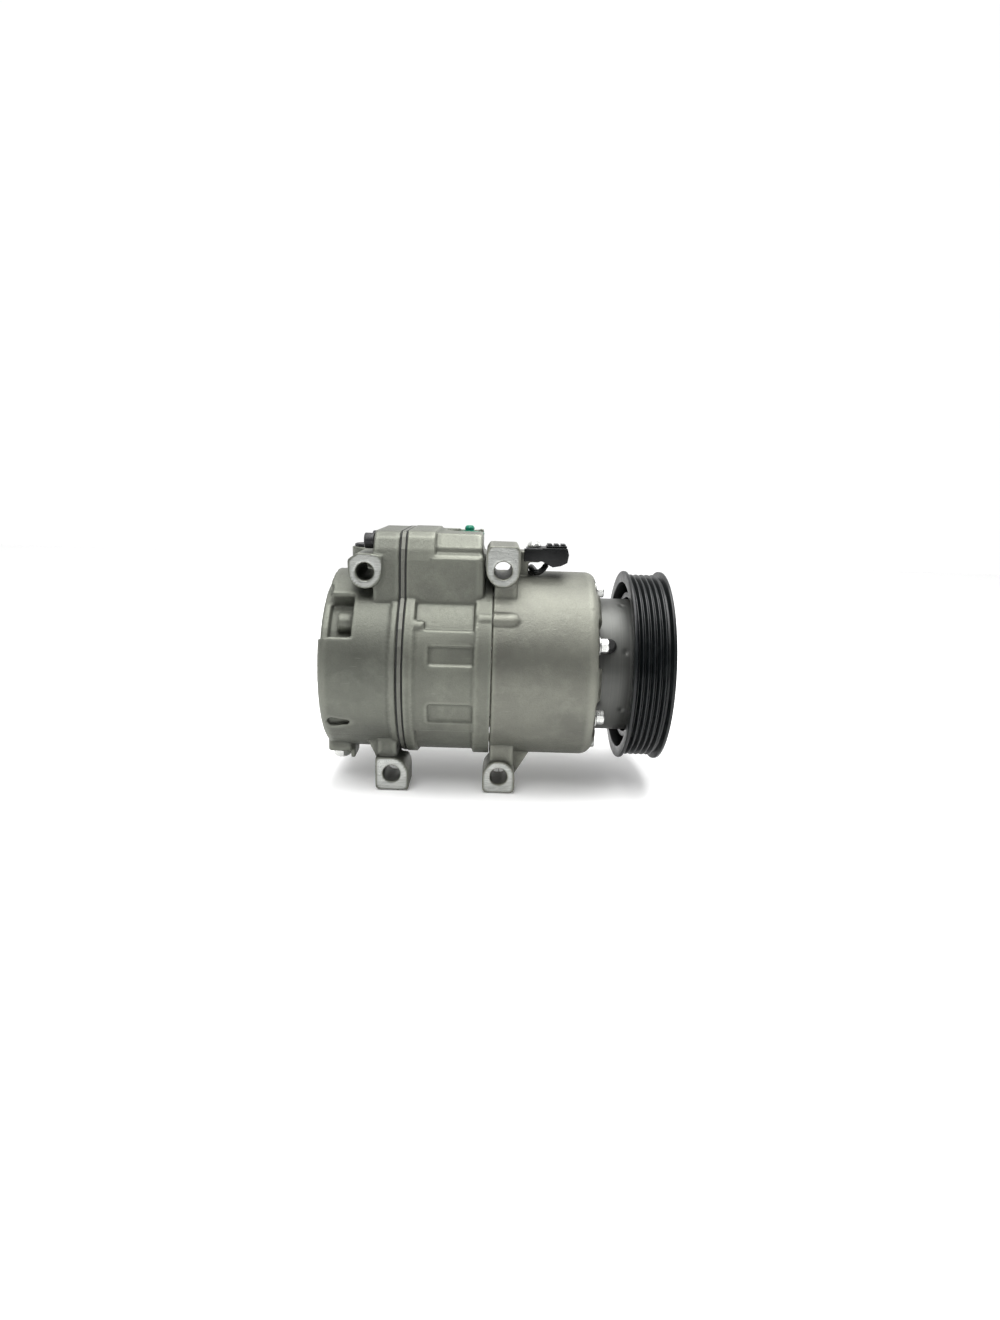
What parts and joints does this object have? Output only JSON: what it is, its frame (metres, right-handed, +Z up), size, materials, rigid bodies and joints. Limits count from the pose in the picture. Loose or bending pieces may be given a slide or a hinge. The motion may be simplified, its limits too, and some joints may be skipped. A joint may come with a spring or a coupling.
{
  "type": "automotive ac compressor",
  "caption": "Automotive air-conditioning compressor: cast aluminium body with mounting lugs and hose ports, grooved belt pulley and electromagnetic clutch",
  "frame": {"origin": "the outer face of the hub bolt, on the shaft's axis", "axes": "+X along the shaft towards the pulley and clutch, +Z up through the muffler box and the ports, -Y the side that the four mounting lugs' machined faces look to"},
  "size_m": [0.2216, 0.1248, 0.1665],
  "materials": {
    "cast_aluminium": "sand-cast, matt grey",
    "machined_steel": "machined",
    "piston_aluminium": "machined, coated",
    "zinc_steel": "zinc plated",
    "friction_steel": "ground, blued by heat",
    "black_steel": "black oxide",
    "spring_steel": "spring steel",
    "gasket": "coated sheet",
    "coil_grey": "satin grey",
    "coil_resin": "potted winding",
    "black_enamel": "black electro-coat",
    "black_plastic": "moulded",
    "rubber": "matt",
    "brass": "machined",
    "cap_green": "moulded"
  },
  "bodies": {
    "body": {"rear_head": "cast_aluminium", "cylinder_block": "cast_aluminium", "front_housing": "cast_aluminium", "valve_plate": "machined_steel", "thrust_bearing": "machined_steel", "bearing_inner_race": "machined_steel", "discharge_retainer": "machined_steel", "piston_1": "piston_aluminium", "piston_2": "piston_aluminium", "piston_3": "piston_aluminium", "piston_4": "piston_aluminium", "piston_5": "piston_aluminium", "piston_6": "piston_aluminium", "piston_7": "piston_aluminium", "through_bolt_1": "zinc_steel", "through_bolt_2": "zinc_steel", "through_bolt_3": "zinc_steel", "through_bolt_4": "zinc_steel", "through_bolt_5": "zinc_steel", "through_bolt_6": "zinc_steel", "through_bolt_7": "zinc_steel", "relief_valve": "zinc_steel", "connector_screw": "zinc_steel", "flange_screw_1": "black_steel", "flange_screw_2": "black_steel", "discharge_reed": "spring_steel", "coil_circlip": "spring_steel", "bearing_circlip": "spring_steel", "front_bearing": "spring_steel", "rear_bearing": "spring_steel", "head_gasket": "gasket", "block_gasket": "gasket", "coil_shell": "coil_grey", "coil_winding": "coil_resin", "suction_cap": "black_plastic", "connector_body": "black_plastic", "connector_lock": "black_plastic", "coil_lead": "black_plastic", "shaft_seal": "rubber", "housing_o_ring": "rubber", "coil_grommet": "rubber", "control_valve": "brass", "discharge_cap": "cap_green"},
    "pulley": {"pulley_rim": "black_enamel", "pulley_rotor": "black_enamel", "bearing_outer_race": "machined_steel"},
    "bearing_cage": {"bearing_balls": "brass"},
    "drive": {"shaft": "machined_steel", "lug_plate": "machined_steel", "swash_plate": "machined_steel", "destroke_spring": "spring_steel", "clutch_hub": "black_enamel", "hub_bolt": "zinc_steel", "leaf_spring_1": "spring_steel", "leaf_spring_2": "spring_steel", "leaf_spring_3": "spring_steel"},
    "armature": {"armature_plate": "friction_steel", "armature_rivet_1": "zinc_steel", "armature_rivet_2": "zinc_steel", "armature_rivet_3": "zinc_steel"}
  },
  "joints": [
    {"name": "pulley_spin", "type": "hinge", "parent": "body", "child": "pulley", "pos_m": [-0.018, 0, 0], "axis": [1, 0, 0], "continuous": true},
    {"name": "bearing_cage_spin", "type": "hinge", "parent": "body", "child": "bearing_cage", "pos_m": [-0.0265, 0, 0], "axis": [1, 0, 0], "continuous": true},
    {"name": "shaft_spin", "type": "hinge", "parent": "body", "child": "drive", "pos_m": [-0.09, 0, 0], "axis": [1, 0, 0], "continuous": true},
    {"name": "armature_engage", "type": "slide", "parent": "drive", "child": "armature", "axis": [-1, 0, 0], "range_m": [0, 0.00045], "stiffness_N_per_m": 8000}
  ],
  "couplings": [
    {"joint": "bearing_cage_spin", "follows": "pulley_spin", "ratio": 0.54}
  ]
}
